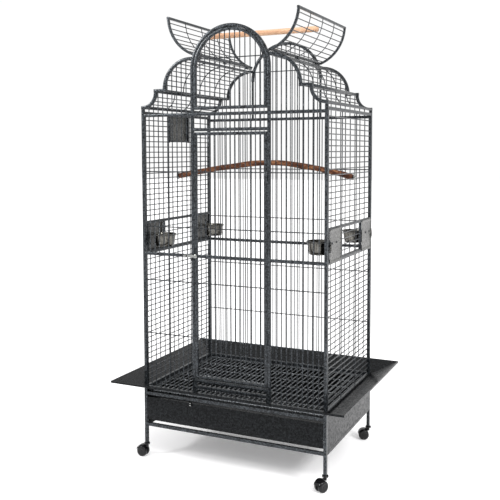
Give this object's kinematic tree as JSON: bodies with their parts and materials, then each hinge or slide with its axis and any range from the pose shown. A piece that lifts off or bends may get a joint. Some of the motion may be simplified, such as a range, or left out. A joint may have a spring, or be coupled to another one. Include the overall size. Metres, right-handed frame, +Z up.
{
  "type": "bird cage on stand",
  "caption": "Tall wire parrot cage with an opening domed play top, hinged front door, swing-out feeders, seed skirts, slide-out grate and tray, on a castered stand.",
  "frame": {"origin": "on the floor, under the middle of the cage", "axes": "+X to the right of the front, +Y from the front to the back, +Z up"},
  "size_m": [1.016, 0.803, 1.8446],
  "materials": {
    "frame_steel": "hammered powder coat",
    "sheet_steel": "hammered powder coat",
    "bright_steel": "satin",
    "pale_wood": "satin",
    "red_wood": "satin",
    "black_plastic": "gloss"
  },
  "bodies": {
    "frame": {"front_left_grille": "frame_steel", "front_right_grille": "frame_steel", "front_sill": "frame_steel", "front_crown": "frame_steel", "back_crown": "frame_steel", "arch_window": "frame_steel", "back_panel": "frame_steel", "right_lower_grille": "frame_steel", "left_lower_grille": "frame_steel", "right_feeder_band": "frame_steel", "left_feeder_band": "frame_steel", "right_upper_grille": "frame_steel", "left_upper_grille": "frame_steel", "roof_shoulder_right": "frame_steel", "roof_shoulder_left": "frame_steel", "flap_rod_right": "bright_steel", "flap_rod_left": "bright_steel", "door_hinge_lower": "frame_steel", "door_hinge_upper": "frame_steel", "latch_stop": "frame_steel", "leg_front_left": "frame_steel", "leg_back_left": "frame_steel", "leg_front_right": "frame_steel", "leg_back_right": "frame_steel", "stand_front_rail": "frame_steel", "lower_front_rail": "frame_steel", "apron_right": "sheet_steel", "apron_left": "sheet_steel", "apron_back": "sheet_steel", "skirt_front": "sheet_steel", "skirt_right": "sheet_steel", "skirt_back": "sheet_steel", "skirt_left": "sheet_steel", "inner_perch": "red_wood", "perch_bolt_left": "bright_steel", "perch_bolt_right": "bright_steel"},
    "door": {"front_door": "frame_steel"},
    "latch": {"door_latch": "bright_steel"},
    "flap_right": {"roof_flap_right": "frame_steel"},
    "flap_left": {"roof_flap_left": "frame_steel"},
    "top_perch": {"top_perch": "pale_wood"},
    "grate": {"grate": "frame_steel"},
    "tray": {"tray": "sheet_steel"},
    "nest_door": {"nest_door": "sheet_steel"},
    "feeder_left_front": {"feeder_door_left_front": "sheet_steel"},
    "cup_left_front": {"cup_left_front": "bright_steel"},
    "feeder_left_back": {"feeder_door_left_back": "sheet_steel"},
    "cup_left_back": {"cup_left_back": "bright_steel"},
    "feeder_right_front": {"feeder_door_right_front": "sheet_steel"},
    "cup_right_front": {"cup_right_front": "bright_steel"},
    "feeder_right_back": {"feeder_door_right_back": "sheet_steel"},
    "cup_right_back": {"cup_right_back": "bright_steel"},
    "caster_front_left": {"caster_hood_front_left": "black_plastic"},
    "wheel_front_left": {"caster_wheel_front_left": "black_plastic"},
    "caster_front_right": {"caster_hood_front_right": "black_plastic"},
    "wheel_front_right": {"caster_wheel_front_right": "black_plastic"},
    "caster_back_left": {"caster_hood_back_left": "black_plastic"},
    "wheel_back_left": {"caster_wheel_back_left": "black_plastic"},
    "caster_back_right": {"caster_hood_back_right": "black_plastic"},
    "wheel_back_right": {"caster_wheel_back_right": "black_plastic"}
  },
  "joints": [
    {"name": "door_hinge", "type": "hinge", "parent": "frame", "child": "door", "pos_m": [0.161, -0.3034, 0.88], "axis": [0, 0, 1], "range_deg": [0, 110]},
    {"name": "latch_turn", "type": "hinge", "parent": "door", "child": "latch", "pos_m": [-0.15405, -0.3003, 0.8745], "axis": [0, 1, 0], "range_deg": [0, 90]},
    {"name": "flap_right_hinge", "type": "hinge", "parent": "frame", "child": "flap_right", "pos_m": [0.1676, 0, 1.6793], "axis": [0, -1, 0], "range_deg": [0, 91]},
    {"name": "flap_left_hinge", "type": "hinge", "parent": "frame", "child": "flap_left", "pos_m": [-0.1676, 0, 1.6793], "axis": [0, 1, 0], "range_deg": [0, 91]},
    {"name": "top_perch_lift", "type": "slide", "parent": "frame", "child": "top_perch", "axis": [0, 0, 1], "range_m": [0, 1.28]},
    {"name": "grate_slide", "type": "slide", "parent": "frame", "child": "grate", "axis": [0, -1, 0], "range_m": [0, 0.45]},
    {"name": "tray_slide", "type": "slide", "parent": "frame", "child": "tray", "axis": [0, -1, 0], "range_m": [0, 0.45]},
    {"name": "nest_door_hinge", "type": "hinge", "parent": "frame", "child": "nest_door", "pos_m": [-0.4103, 0.0825, 1.396], "axis": [0, 0, -1], "range_deg": [0, 115]},
    {"name": "feeder_left_front_hinge", "type": "hinge", "parent": "frame", "child": "feeder_left_front", "pos_m": [-0.4103, -0.2715, 0.937], "axis": [0, 0, 1], "range_deg": [0, 100]},
    {"name": "cup_left_front_lift", "type": "slide", "parent": "feeder_left_front", "child": "cup_left_front", "axis": [0, 0, 1], "range_m": [0, 0.09]},
    {"name": "feeder_left_back_hinge", "type": "hinge", "parent": "frame", "child": "feeder_left_back", "pos_m": [-0.4103, 0.2805, 0.937], "axis": [0, 0, -1], "range_deg": [0, 100]},
    {"name": "cup_left_back_lift", "type": "slide", "parent": "feeder_left_back", "child": "cup_left_back", "axis": [0, 0, 1], "range_m": [0, 0.09]},
    {"name": "feeder_right_front_hinge", "type": "hinge", "parent": "frame", "child": "feeder_right_front", "pos_m": [0.4103, -0.2715, 0.937], "axis": [0, 0, -1], "range_deg": [0, 100]},
    {"name": "cup_right_front_lift", "type": "slide", "parent": "feeder_right_front", "child": "cup_right_front", "axis": [0, 0, 1], "range_m": [0, 0.09]},
    {"name": "feeder_right_back_hinge", "type": "hinge", "parent": "frame", "child": "feeder_right_back", "pos_m": [0.4103, 0.2805, 0.937], "axis": [0, 0, 1], "range_deg": [0, 100]},
    {"name": "cup_right_back_lift", "type": "slide", "parent": "feeder_right_back", "child": "cup_right_back", "axis": [0, 0, 1], "range_m": [0, 0.09]},
    {"name": "caster_front_left_swivel", "type": "hinge", "parent": "frame", "child": "caster_front_left", "pos_m": [-0.40015, -0.29365, 0.055], "axis": [0, 0, 1], "continuous": true},
    {"name": "wheel_front_left_roll", "type": "hinge", "parent": "caster_front_left", "child": "wheel_front_left", "pos_m": [-0.42015, -0.29365, 0.02318], "axis": [0, -1, 0], "continuous": true},
    {"name": "caster_front_right_swivel", "type": "hinge", "parent": "frame", "child": "caster_front_right", "pos_m": [0.40015, -0.29365, 0.055], "axis": [0, 0, 1], "continuous": true},
    {"name": "wheel_front_right_roll", "type": "hinge", "parent": "caster_front_right", "child": "wheel_front_right", "pos_m": [0.39015, -0.31097, 0.02318], "axis": [0.866, -0.5, 0], "continuous": true},
    {"name": "caster_back_left_swivel", "type": "hinge", "parent": "frame", "child": "caster_back_left", "pos_m": [-0.40015, 0.29365, 0.055], "axis": [0, 0, 1], "continuous": true},
    {"name": "wheel_back_left_roll", "type": "hinge", "parent": "caster_back_left", "child": "wheel_back_left", "pos_m": [-0.41947, 0.29883, 0.02318], "axis": [-0.2588, -0.9659, 0], "continuous": true},
    {"name": "caster_back_right_swivel", "type": "hinge", "parent": "frame", "child": "caster_back_right", "pos_m": [0.40015, 0.29365, 0.055], "axis": [0, 0, 1], "continuous": true},
    {"name": "wheel_back_right_roll", "type": "hinge", "parent": "caster_back_right", "child": "wheel_back_right", "pos_m": [0.38136, 0.28681, 0.02318], "axis": [0.342, -0.9397, 0], "continuous": true}
  ],
  "couplings": [
    {"joint": "flap_left_hinge", "follows": "flap_right_hinge", "ratio": 1},
    {"joint": "top_perch_lift", "follows": "flap_right_hinge", "m_per_rad": 0.8}
  ]
}
